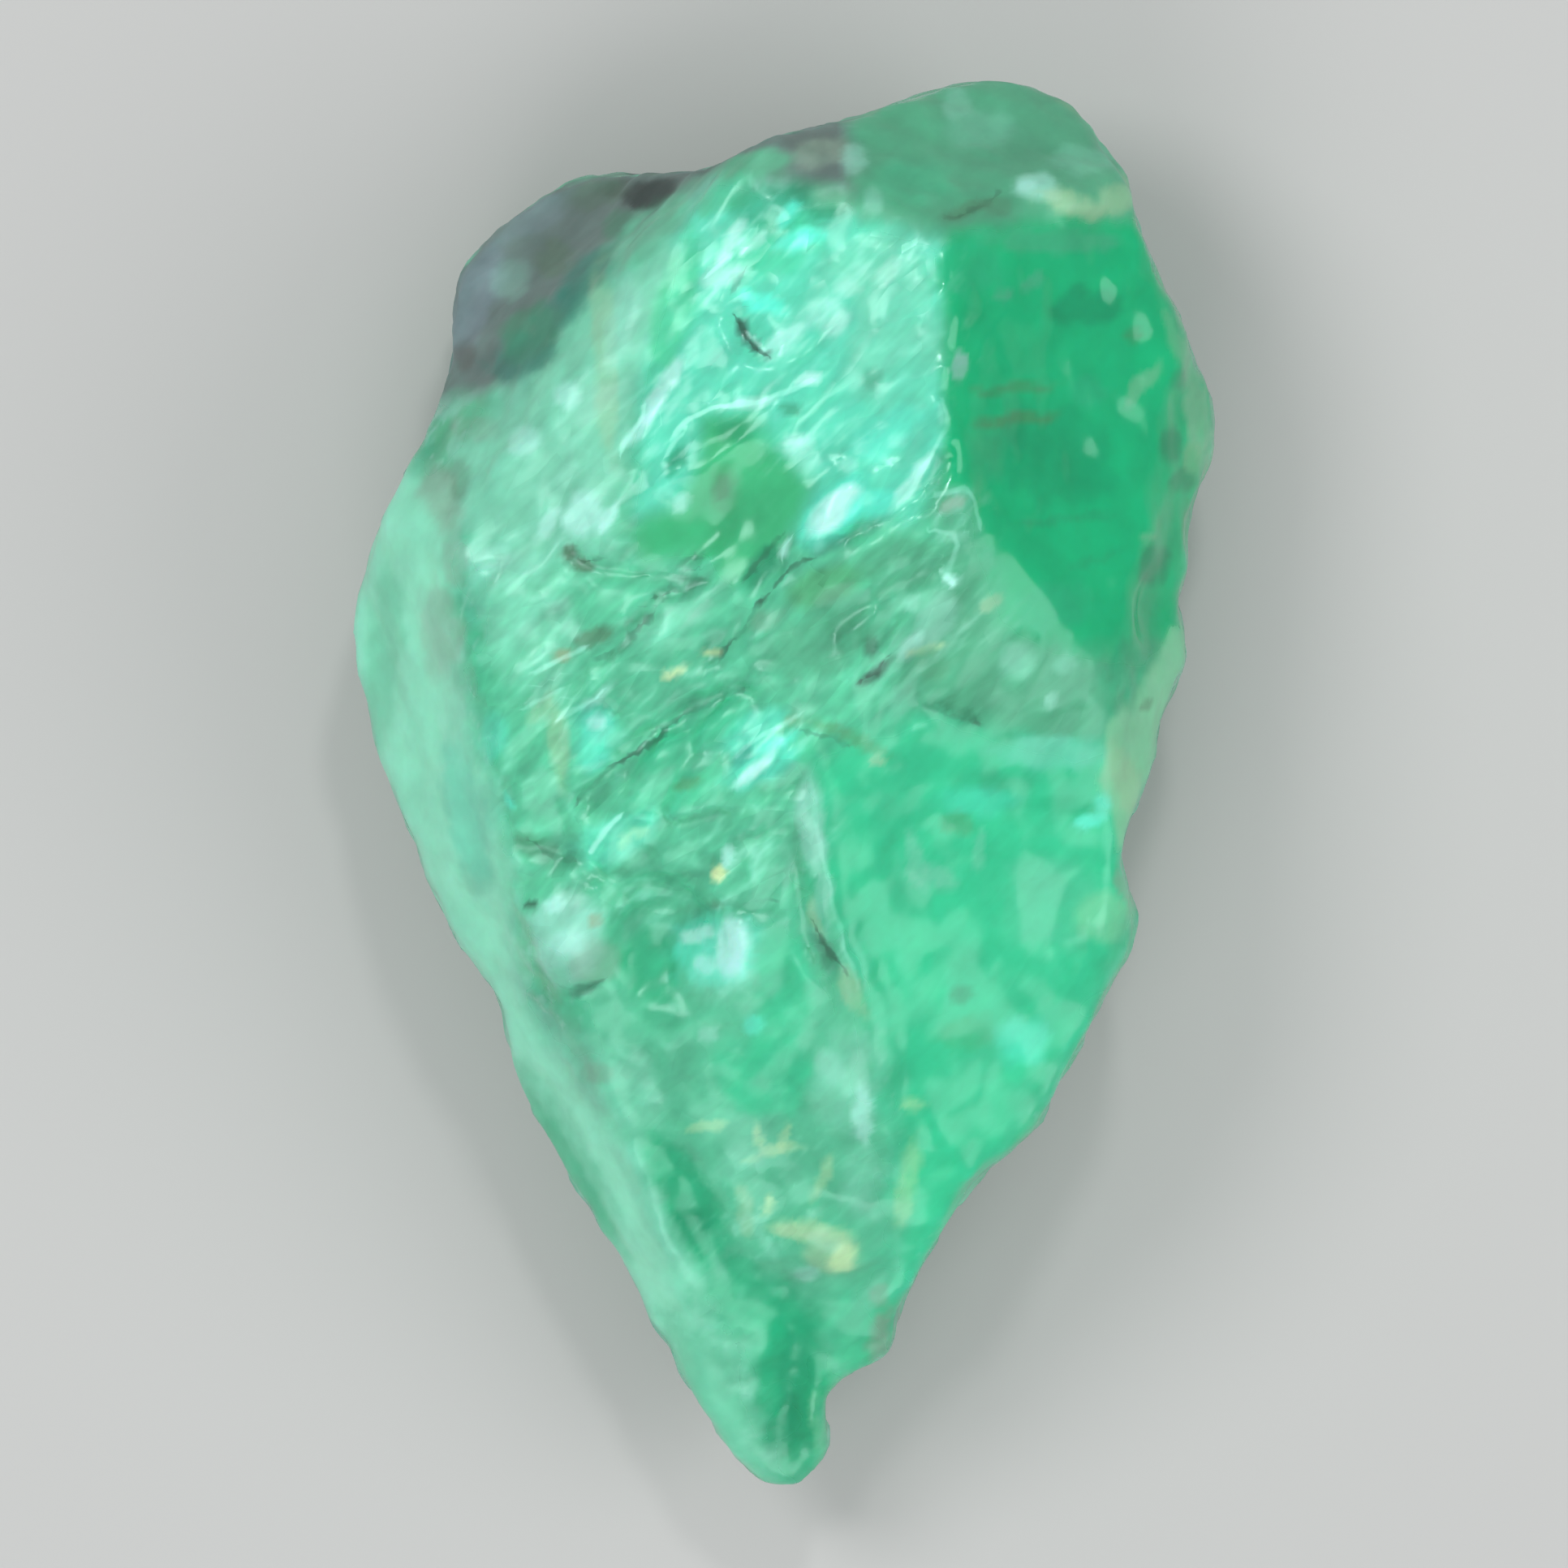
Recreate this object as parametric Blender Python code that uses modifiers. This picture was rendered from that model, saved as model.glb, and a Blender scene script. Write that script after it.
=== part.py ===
"""Rough emerald: one tear-shaped broken crystal, lying on its back on a small flat spot.

It is a piece of a six-sided prism. Its back keeps three prism faces, which meet at 120 degrees and run
along the crystal's long axis. Its front is all fracture: a glittering broken face, a smooth window, a cap,
two lower faces that meet in a vein, and a ledge of grey host rock behind the upper left shoulder.

The work is done in millimetres and the finished mesh is scaled to metres. +Z points away from the surface
that the stone lies on, and +Y along the stone, from its tip to its broad end.
"""

import math

import bmesh
import bpy
from mathutils import Matrix, Vector, noise

# Driving dimensions, in millimetres
LENGTH = 25.0
WIDTH = 15.36
THICKNESS = 9.4
BLOCK_SIZE = 60.0
VOXEL = 0.16
EDGE_ROUNDING_PASSES = 9
WEAR_ALLOWANCE = 0.10
TRIANGLES = 9000
TO_METRES = 0.001

# The stone's outline seen from its front, clockwise from the broad end's highest point
OUTLINE = (
    (3.43, 12.49), (4.54, 12.40), (5.12, 12.10), (5.55, 11.45), (6.06, 10.83),
    (6.23, 10.10), (6.68, 8.98), (7.37, 7.48), (7.69, 6.53), (7.60, 5.75),
    (7.18, 4.77), (7.16, 4.05), (6.94, 3.27), (7.16, 2.42), (6.71, 1.32),
    (6.45, 0.21), (5.97, -1.11), (6.07, -1.83), (6.29, -2.44), (5.81, -3.34),
    (5.35, -4.37), (4.20, -6.28), (3.43, -6.93), (2.57, -8.18), (2.02, -9.28),
    (1.80, -10.09), (1.05, -10.50), (0.68, -10.78), (0.59, -11.18), (0.68, -11.88),
    (0.52, -12.34), (0.07, -12.51), (-0.53, -12.26), (-1.07, -11.69), (-2.41, -9.31),
    (-3.85, -6.87), (-4.72, -5.05), (-4.89, -4.37), (-5.22, -3.62), (-6.09, -2.14),
    (-6.77, -0.51), (-7.53, 1.77), (-7.67, 2.88), (-7.43, 3.99), (-6.74, 5.44),
    (-6.09, 6.78), (-5.83, 7.71), (-5.84, 8.58), (-5.73, 9.14), (-4.93, 10.02),
    (-3.35, 10.86), (-1.69, 10.80), (0.04, 11.48), (1.34, 11.80), (2.50, 12.27),
)

# Each face is a point on it and its outward direction
FRONT_FACES = {
    "glitter face": ((0.5, 7.4, 8.9), (-0.10, 0.12, 1.0)),
    "upper left face": ((-2.0, 6.5, 8.6), (-0.42, 0.14, 1.0)),
    "middle face": ((1.5, 3.5, 9.3), (-0.25, -0.08, 1.0)),
    "window": ((2.86, 9.8, 8.95), (0.89, 0.09, 1.0)),
    "cap": ((2.9, 9.8, 8.85), (0.31, 0.76, 0.57)),
    "lower left face": ((1.34, -3.68, 7.9), (-0.32, -0.35, 1.0)),
    "lower right face": ((1.34, -3.68, 7.9), (0.40, -0.20, 1.0)),
    "left bevel": ((-5.65, 3.0, 7.45), (-1.70, -0.37, 1.0)),
    "lower left bevel": ((-4.4, -3.0, 6.1), (-1.60, -0.90, 1.0)),
    "shoulder bevel": ((-5.3, 5.5, 7.2), (-1.19, 0.70, 1.0)),
    "ledge wall": ((-3.4, 8.7, 7.7), (-0.69, 0.72, 0.35)),
    "right rim": ((7.3, 6.0, 5.5), (0.95, 0.10, 0.55)),
    "right sliver": ((6.2, 0.5, 6.3), (0.90, -0.05, 0.45)),
    "tip": ((0.5, -9.0, 5.0), (-0.15, -0.55, 1.0)),
}
BACK_FACES = {
    "bottom prism face": ((0.0, 1.0, -0.20), (0.04, -0.06, -1.0)),
    "left prism face": ((-2.84, -8.6, 2.6), (-0.77, -0.40, -0.50)),
    "right prism face": ((7.8, 6.5, 2.9), (0.77, 0.40, -0.50)),
    "right break": ((6.5, -1.0, 3.0), (0.85, -0.15, -0.50)),
    "left break": ((-7.68, 2.88, 3.4), (-0.90, 0.10, -0.50)),
    "lower right break": ((2.5, -8.3, 2.2), (0.75, -0.45, -0.50)),
    "upper break": ((3.8, 12.5, 3.2), (0.10, 0.80, -0.60)),
    "shoulder break": ((-4.43, 10.4, 1.8), (-0.60, 0.60, -0.55)),
    "tip underside": ((0.0, -8.0, 0.3), (-0.05, -0.35, -1.0)),
}
LEDGE_FACES = {
    "ledge top": ((-4.4, 9.0, 4.5), (-0.28, 0.34, 1.0)),
    "ledge right end": ((1.3, 11.0, 4.0), (1.0, 0.25, 0.2)),
    "ledge left end": ((-5.6, 6.9, 4.0), (-0.3, -1.0, 0.2)),
}

# Shell-shaped breaks bitten out of the stone: centre, radii, and turn about +Z in degrees
SHELL_BREAKS = {
    "hollow under the window": ((7.9, 3.1, 6.2), (1.6, 1.2, 1.9), 10.0),
    "notch under the sliver": ((7.3, -1.2, 5.4), (1.4, 1.1, 1.7), 0.0),
    "hollow in the lower left face": ((-2.3, -3.2, 8.45), (1.8, 1.9, 2.1), 20.0),
    "break on the back": ((3.6, -5.6, -0.9), (3.4, 4.2, 2.3), 25.0),
    "break behind the cap": ((-0.6, 11.6, -1.2), (4.2, 3.4, 2.9), 8.0),
    "notch beside the tip": ((1.9, -11.6, 2.6), (1.15, 1.05, 2.4), 0.0),
}

# Swellings and dips of the front: centre, half length, half width, turn in degrees, height
SWELLINGS = (
    ((-1.11, 4.55), 1.3, 0.95, 60.0, -0.26),
    ((0.98, 4.97), 0.62, 0.42, 55.0, 0.26),
    ((2.85, 4.45), 0.62, 0.55, 0.0, 0.22),
    ((-1.11, -2.95), 0.95, 0.55, 80.0, 0.30),
    ((-3.85, -2.60), 1.15, 0.80, 70.0, 0.26),
    ((1.10, -5.40), 1.35, 0.80, 75.0, 0.30),
    ((0.65, -8.15), 1.05, 0.75, -15.0, 0.26),
    ((-1.75, -7.40), 1.75, 0.62, -62.0, -0.36),
    ((0.05, -10.90), 1.40, 0.40, 85.0, -0.24),
    ((4.95, 10.60), 1.15, 0.42, -12.0, 0.34),
    ((2.80, 11.90), 0.60, 0.40, -30.0, 0.18),
    ((3.05, 10.05), 0.75, 0.40, 25.0, -0.26),
    ((4.90, 6.40), 2.60, 1.50, 80.0, -0.36),
    ((2.60, -1.60), 2.10, 1.55, 60.0, -0.28),
    ((5.65, -2.30), 0.95, 0.55, 70.0, 0.26),
    ((-5.00, 9.15), 0.95, 0.80, 30.0, 0.36),
    ((-2.05, 10.45), 0.90, 0.50, 10.0, -0.42),
    ((-5.55, 7.60), 0.50, 0.45, 0.0, -0.30),
    ((0.45, 10.95), 0.85, 0.40, 15.0, -0.24),
)

# Open cracks of the front: depth, half width, and the line that each follows
CRACKS = (
    (0.20, 0.24, ((-3.56, -0.29), (-2.41, 0.93), (-1.40, 1.51), (-0.60, 1.68))),
    (0.20, 0.24, ((-1.54, 2.16), (-0.53, 3.10), (-0.20, 3.80))),
    (0.18, 0.22, ((-3.85, 4.10), (-3.27, 3.82), (-1.98, 3.60), (-1.25, 3.65))),
    (0.26, 0.26, ((1.13, 4.40), (1.92, 4.83), (2.64, 5.41), (2.86, 5.84))),
    (0.18, 0.22, ((2.35, 1.44), (3.36, 1.00), (5.20, 0.80))),
    (0.22, 0.24, ((0.35, -1.37), (0.42, -2.80), (0.85, -3.40), (1.20, -3.90))),
    (0.16, 0.22, ((-4.70, -1.10), (-3.56, -1.37), (-2.60, -2.20), (-0.25, -2.24))),
)

# The pale vein stands up along the meeting line of the two lower faces
VEIN_HEIGHT = 0.20
VEIN_HALF_WIDTH = 0.45
VEIN_LINE = ((0.33, 0.94), (0.65, -1.40), (1.34, -3.70), (1.75, -5.40), (2.00, -7.00))

# The middle of the front broke in steps, whose risers run from lower left to upper right
STEP_CENTRE = (-1.0, 4.6)
STEP_REACH = (5.4, 6.0)
STEP_DIRECTION = 38.0
STEP_SPACING = 1.55
STEP_HEIGHT = 0.30
STEP_WANDER = 1.3

SURFACE_ROUGHNESS = ((0.9, 0.10), (2.2, 0.045))
NOISE_ORIGIN = Vector((11.0, 3.0, 7.0))


def clear_scene():
    for old in list(bpy.data.objects):
        bpy.data.objects.remove(old)


def show(obj, collection):
    collection.objects.link(obj)
    return obj


def helper(obj, collection):
    """An object that only shapes another, and isn't part of the stone."""
    obj.hide_render = True
    obj.display_type = "WIRE"
    return show(obj, collection)


def evaluated_mesh(obj):
    bpy.context.view_layer.update()
    graph = bpy.context.evaluated_depsgraph_get()
    mesh = bpy.data.meshes.new_from_object(obj.evaluated_get(graph), depsgraph=graph)
    mesh.transform(obj.matrix_world)
    return mesh


def outline_prism(collection):
    """The outline as a closed wall, tall enough to hold the whole stone."""
    curve = bpy.data.curves.new("outline", "CURVE")
    curve.dimensions = "2D"
    curve.fill_mode = "BOTH"
    curve.extrude = THICKNESS * 2.0
    curve.resolution_u = 5
    curve.offset = WEAR_ALLOWANCE
    spline = curve.splines.new("BEZIER")
    spline.bezier_points.add(len(OUTLINE) - 1)
    spline.use_cyclic_u = True
    for knot, (x, y) in zip(spline.bezier_points, OUTLINE):
        knot.co = (x, y, 0.0)
        knot.handle_left_type = knot.handle_right_type = "AUTO"
    guide = show(bpy.data.objects.new("outline guide", curve), collection)
    mesh = evaluated_mesh(guide)
    bpy.data.objects.remove(guide)
    weld(mesh)
    return helper(bpy.data.objects.new("outline prism", mesh), collection)


def weld(mesh):
    shape = bmesh.new()
    shape.from_mesh(mesh)
    bmesh.ops.remove_doubles(shape, verts=shape.verts, dist=1e-4)
    bmesh.ops.recalc_face_normals(shape, faces=shape.faces)
    shape.to_mesh(mesh)
    shape.free()


def cut(shape, point, direction):
    """Cuts away what lies beyond one flat face, and closes the cut."""
    parts = shape.verts[:] + shape.edges[:] + shape.faces[:]
    made = bmesh.ops.bisect_plane(
        shape, geom=parts, dist=1e-6, plane_co=point, plane_no=direction, clear_outer=True
    )
    rim = [part for part in made["geom_cut"] if isinstance(part, bmesh.types.BMEdge)]
    if rim:
        bmesh.ops.contextual_create(shape, geom=rim)


def cleaved_block(name, faces):
    """A block of crystal with one flat face for each entry of faces."""
    shape = bmesh.new()
    bmesh.ops.create_cube(shape, size=BLOCK_SIZE)
    for point, direction in faces.values():
        cut(shape, Vector(point), Vector(direction).normalized())
    bmesh.ops.recalc_face_normals(shape, faces=shape.faces)
    mesh = bpy.data.meshes.new(name)
    shape.to_mesh(mesh)
    shape.free()
    return bpy.data.objects.new(name, mesh)


def shell_cutter(name, centre, radii, turn, collection):
    """A round-bottomed cutter, because emerald breaks in shells, as glass does."""
    shape = bmesh.new()
    bmesh.ops.create_uvsphere(shape, u_segments=40, v_segments=24, radius=1.0)
    mesh = bpy.data.meshes.new(name)
    shape.to_mesh(mesh)
    shape.free()
    cutter = helper(bpy.data.objects.new(name, mesh), collection)
    cutter.matrix_world = (
        Matrix.Translation(centre)
        @ Matrix.Rotation(math.radians(turn), 4, "Z")
        @ Matrix.Diagonal((*radii, 1.0))
    )
    return cutter


def combine(obj, other, operation):
    step = obj.modifiers.new(other.name, "BOOLEAN")
    step.operation = operation
    step.solver = "EXACT"
    step.object = other


def rounded(obj):
    """Evens the mesh out and wears its edges."""
    remesh = obj.modifiers.new("even mesh", "REMESH")
    remesh.mode = "VOXEL"
    remesh.voxel_size = VOXEL
    wear = obj.modifiers.new("worn edges", "SMOOTH")
    wear.factor = 0.5
    wear.iterations = EDGE_ROUNDING_PASSES


def smooth_step(value):
    value = min(max(value, 0.0), 1.0)
    return value * value * (3.0 - 2.0 * value)


def distance_to_line(x, y, line):
    """The distance from a place on the front to a line of straight runs."""
    here = Vector((x, y))
    nearest = math.inf
    for start, end in zip(line, line[1:]):
        start, run = Vector(start), Vector(end) - Vector(start)
        along = min(max((here - start).dot(run) / run.length_squared, 0.0), 1.0)
        nearest = min(nearest, (here - start - run * along).length)
    return nearest


def oval_share(x, y, centre, half_length, half_width, turn):
    """1 at an oval's centre, falling smoothly to 0 at its edge."""
    dx, dy = x - centre[0], y - centre[1]
    cos, sin = math.cos(math.radians(turn)), math.sin(math.radians(turn))
    along = (dx * cos + dy * sin) / half_length
    across = (dy * cos - dx * sin) / half_width
    return smooth_step(1.0 - math.sqrt(along * along + across * across) * 0.7)


def step_height(x, y):
    """The height of the broken middle's steps: gentle treads with short risers."""
    reach = oval_share(x, y, STEP_CENTRE, *STEP_REACH, STEP_DIRECTION)
    angle = math.radians(STEP_DIRECTION)
    across = y * math.cos(angle) - x * math.sin(angle)
    along = x * math.cos(angle) + y * math.sin(angle)
    wander = noise.noise(Vector((along * 0.32, across * 0.45, 3.0))) * STEP_WANDER
    tread = (across + wander) / STEP_SPACING % 1.0
    fading = smooth_step(0.55 + 1.6 * noise.noise(Vector((along * 0.4, across * 0.8, 9.0))))
    return STEP_HEIGHT * reach * fading * (tread - smooth_step((tread - 0.8) / 0.2) - 0.4)


def front_height(x, y):
    """How far the front stands above or below its flat faces."""
    height = step_height(x, y)
    for centre, half_length, half_width, turn, rise in SWELLINGS:
        height += rise * oval_share(x, y, centre, half_length, half_width, turn)
    for depth, half_width, line in CRACKS:
        height -= depth * smooth_step(1.0 - distance_to_line(x, y, line) / half_width)
    vein = smooth_step(1.0 - distance_to_line(x, y, VEIN_LINE) / VEIN_HALF_WIDTH)
    return height + VEIN_HEIGHT * vein


def roughness_at(place):
    return sum(
        strength * noise.noise(place * scale + NOISE_ORIGIN) for scale, strength in SURFACE_ROUGHNESS
    )


def add_relief(mesh):
    """Moves each point of the surface by the stone's relief. The bottom prism face stays flat."""
    moved = []
    for point in mesh.vertices:
        facing_front = smooth_step((point.normal.z - 0.15) / 0.45)
        facing_back = smooth_step((-point.normal.z - 0.80) / 0.15)
        place = point.co + point.normal * roughness_at(point.co) * (1.0 - facing_back)
        place.z += facing_front * front_height(point.co.x, point.co.y)
        moved.append(place)
    for point, place in zip(mesh.vertices, moved):
        point.co = place
    mesh.update()


def simplify(obj, triangles):
    now = sum(len(face.vertices) - 2 for face in obj.data.polygons)
    fewer = obj.modifiers.new("fewer faces", "DECIMATE")
    fewer.ratio = triangles / now


def fit_to_size(shape):
    """Sets the stone on its back and gives it its length, width and thickness."""
    low = Vector(min(point.co[axis] for point in shape.verts) for axis in range(3))
    high = Vector(max(point.co[axis] for point in shape.verts) for axis in range(3))
    middle = (low + high) / 2.0
    size = high - low
    for point in shape.verts:
        point.co.x = (point.co.x - middle.x) * WIDTH / size.x
        point.co.y = (point.co.y - middle.y) * LENGTH / size.y
        point.co.z = (point.co.z - low.z) * THICKNESS / size.z


def flat_spot(mesh):
    """Cuts the small flat that the stone rests on, then scales the mesh to metres."""
    shape = bmesh.new()
    shape.from_mesh(mesh)
    cut(shape, Vector((0.0, 0.0, 0.0)), Vector((0.0, 0.0, -1.0)))
    bmesh.ops.triangulate(shape, faces=shape.faces)
    fit_to_size(shape)
    shape.to_mesh(mesh)
    shape.free()
    mesh.transform(Matrix.Scale(TO_METRES, 4))


def emerald_material():
    material = bpy.data.materials.new("emerald green")
    material.use_nodes = True
    surface = material.node_tree.nodes["Principled BSDF"]
    surface.inputs["Base Color"].default_value = (0.10, 0.52, 0.29, 1.0)
    surface.inputs["Metallic"].default_value = 0.0
    surface.inputs["Roughness"].default_value = 0.22
    surface.inputs["IOR"].default_value = 1.58
    surface.inputs["Transmission Weight"].default_value = 0.35
    material.diffuse_color = (0.10, 0.52, 0.29, 1.0)
    return material


def rough_emerald():
    stone = bpy.data.collections.new("rough emerald")
    cutters = bpy.data.collections.new("cutters")
    for collection in (stone, cutters):
        bpy.context.scene.collection.children.link(collection)

    outline = outline_prism(cutters)
    block = helper(cleaved_block("cleaved block", FRONT_FACES | BACK_FACES), cutters)
    ledge = helper(cleaved_block("grey ledge", LEDGE_FACES | BACK_FACES), cutters)
    combine(block, ledge, "UNION")
    combine(block, outline, "INTERSECT")
    for name, (centre, radii, turn) in SHELL_BREAKS.items():
        combine(block, shell_cutter(name, centre, radii, turn, cutters), "DIFFERENCE")
    rounded(block)

    carved = helper(bpy.data.objects.new("carved stone", evaluated_mesh(block)), cutters)
    add_relief(carved.data)
    simplify(carved, TRIANGLES)

    emerald = show(bpy.data.objects.new("emerald", evaluated_mesh(carved)), stone)
    flat_spot(emerald.data)
    emerald.data.materials.clear()
    emerald.data.materials.append(emerald_material())
    emerald.data.shade_smooth()
    emerald.data.set_sharp_from_angle(angle=math.radians(35.0))


clear_scene()
rough_emerald()
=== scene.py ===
"""The look of the rough emerald: a finer surface over the CAD solid, its colours, floor, light and camera.

Shapes are worked out in millimetres on a copy of the solid. Places on the front are written as they were
read off the photograph, in its pixels, and at() turns them into millimetres on the stone.
"""

import math

import bpy
import numpy as np
from mathutils import Matrix, Vector, kdtree, noise


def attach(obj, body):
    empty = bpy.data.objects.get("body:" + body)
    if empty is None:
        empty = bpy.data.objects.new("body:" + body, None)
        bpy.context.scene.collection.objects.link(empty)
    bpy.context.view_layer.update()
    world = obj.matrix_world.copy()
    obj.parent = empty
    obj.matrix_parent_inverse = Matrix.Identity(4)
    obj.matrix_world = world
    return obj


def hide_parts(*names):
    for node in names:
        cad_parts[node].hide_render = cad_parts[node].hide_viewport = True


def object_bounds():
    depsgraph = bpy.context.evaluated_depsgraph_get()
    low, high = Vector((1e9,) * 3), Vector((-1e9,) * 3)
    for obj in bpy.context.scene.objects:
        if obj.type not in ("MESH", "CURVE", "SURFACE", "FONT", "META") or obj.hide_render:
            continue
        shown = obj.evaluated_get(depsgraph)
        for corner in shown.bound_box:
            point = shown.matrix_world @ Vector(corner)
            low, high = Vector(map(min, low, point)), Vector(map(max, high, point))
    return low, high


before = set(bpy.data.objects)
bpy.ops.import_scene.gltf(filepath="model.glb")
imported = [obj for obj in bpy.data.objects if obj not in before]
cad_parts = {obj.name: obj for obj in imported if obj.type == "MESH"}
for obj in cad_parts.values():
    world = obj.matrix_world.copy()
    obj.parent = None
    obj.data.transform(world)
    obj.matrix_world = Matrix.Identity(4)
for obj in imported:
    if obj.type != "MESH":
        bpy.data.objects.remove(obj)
cad_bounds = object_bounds()

# How places on the photograph become millimetres on the stone
PIXELS_PER_MM = 69.32
PHOTO_MIDDLE = (967.0, 964.8)
PHOTO_WIDTH = 1932.0
MM = 0.001

# The fine surface, in millimetres
FINE_VOXEL = 0.108
FINE_SMOOTHING = 4
FINE_SMOOTHING_FACTOR = 0.5

# Colours by name, as they look, in sRGB
COLOURS = {
    "sea green": (92, 198, 156),
    "pale aqua": (98, 218, 186),
    "mist": (130, 216, 184),
    "milky green": (116, 204, 170),
    "window green": (0, 214, 144),
    "deep green": (4, 148, 102),
    "leaf green": (6, 178, 124),
    "vivid green": (54, 208, 154),
    "facet green": (72, 206, 142),
    "olive": (80, 164, 108),
    "moss": (56, 140, 102),
    # The next colour is painted light: the white of glints and highlights where fractures catch the light
    "painted highlight white": (192, 255, 242),
    # The next colour is painted light too: the bluish halo round those glints
    "painted glint cyan": (100, 250, 222),
    "frost": (156, 226, 204),
    "matte green": (88, 178, 138),
    # The next colour is partly painted light: a milky green made paler where the left bevel faces the light
    "bevel green with painted light": (148, 236, 202),
    # The next colour is partly painted light: a paler green, standing in places for light glowing through the
    # thin rims
    "pale green and painted rim glow": (136, 220, 172),
    "grey": (104, 122, 118),
    "blue grey": (124, 142, 150),
    "teal": (40, 122, 106),
    "charcoal": (36, 40, 38),
    "pinkish": (144, 172, 152),
    "mauve": (92, 92, 90),
    "rust": (164, 130, 84),
    "brown": (86, 120, 88),
    "crack": (44, 76, 60),
    "ochre": (96, 156, 100),
    "lemon": (226, 250, 190),
    "beige": (166, 206, 164),
}


def at(px, py):
    """A place on the photograph, in millimetres on the stone."""
    return ((px - PHOTO_MIDDLE[0]) / PIXELS_PER_MM, (PHOTO_MIDDLE[1] - py) / PIXELS_PER_MM)


# Regions of the front: colour, softness of the edge in mm, clearness, roughness, chip height, corners
REGIONS = {
    "middle": ("sea green", 0.5, 0.12, 0.30, 0.115,
               ((600, 650), (900, 640), (1180, 640), (1240, 780), (1380, 900), (1000, 960), (980, 1120),
                (660, 1160), (600, 900))),
    "lower right face": ("vivid green", 0.6, 0.18, 0.26, 0.03,
                         ((1000, 930), (1200, 860), (1370, 900), (1420, 1130), (1250, 1420), (1090, 1620),
                          (1090, 1330), (1060, 1220), (1020, 1080))),
    "lower left face": ("sea green", 0.6, 0.16, 0.28, 0.05,
                        ((660, 1120), (1000, 1120), (1050, 1220), (1080, 1330), (1110, 1500), (1060, 1660),
                         (950, 1740), (830, 1560), (720, 1300))),
    "upper left face": ("mist", 0.5, 0.12, 0.36, 0.055,
                        ((560, 560), (640, 470), (740, 350), (850, 250), (830, 420), (780, 560), (760, 690),
                         (640, 700), (560, 650))),
    "glitter face": ("pale aqua", 0.25, 0.12, 0.26, 0.07,
                     ((850, 250), (890, 222), (1060, 270), (1160, 285), (1162, 560), (1130, 640), (1000, 660),
                      (900, 640), (790, 640), (790, 480))),
    "green facet": ("facet green", 0.25, 0.30, 0.22, 0.02,
                    ((868, 520), (925, 512), (955, 550), (1000, 600), (985, 640), (945, 690), (905, 718),
                     (870, 680), (800, 690), (790, 660), (840, 620), (862, 570))),
    "right band": ("matte green", 0.4, 0.10, 0.34, 0.06,
                   ((1195, 640), (1240, 740), (1300, 780), (1400, 795), (1440, 830), (1390, 900),
                    (1320, 925), (1190, 890), (1120, 800))),
    "window foot": ("window green", 0.45, 0.40, 0.14, 0.01,
                    ((1190, 560), (1480, 560), (1470, 690), (1452, 790), (1390, 812), (1290, 796),
                     (1236, 760), (1214, 690))),
    "window": ("window green", 0.14, 0.40, 0.14, 0.01,
               ((1162, 280), (1280, 262), (1400, 262), (1500, 500), (1470, 640), (1440, 700), (1330, 700),
                (1240, 700), (1212, 660), (1190, 610), (1163, 600))),
    "cap": ("matte green", 0.25, 0.20, 0.48, 0.03,
            ((1050, 140), (1200, 90), (1320, 100), (1410, 272), (1280, 278), (1160, 296), (1060, 276),
             (1048, 190))),
    # The left bevel is partly painted light: its milky green is made paler where it faces the light
    "left bevel": ("bevel green with painted light", 0.4, 0.15, 0.34, 0.012,
                   ((470, 560), (560, 600), (560, 760), (590, 930), (630, 1060), (650, 1230), (720, 1330),
                    (790, 1440), (850, 1580), (910, 1710), (960, 1850), (860, 1850), (380, 1000),
                    (380, 700))),
    # The right sliver's pale green is a painted glow of light through the thin edge
    "right sliver": ("pale green and painted rim glow", 0.08, 0.25, 0.40, 0.01,
                     ((1440, 770), (1500, 800), (1440, 960), (1400, 1040), (1378, 1040), (1352, 960),
                      (1365, 900), (1410, 830))),
    "grey ledge": ("grey", 0.3, 0.04, 0.62, 0.05,
                   ((520, 300), (740, 160), (900, 170), (1040, 120), (1052, 200), (1046, 240), (980, 232),
                    (885, 216), (800, 270), (740, 330), (690, 410), (640, 480), (600, 490), (540, 490))),
}
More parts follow.
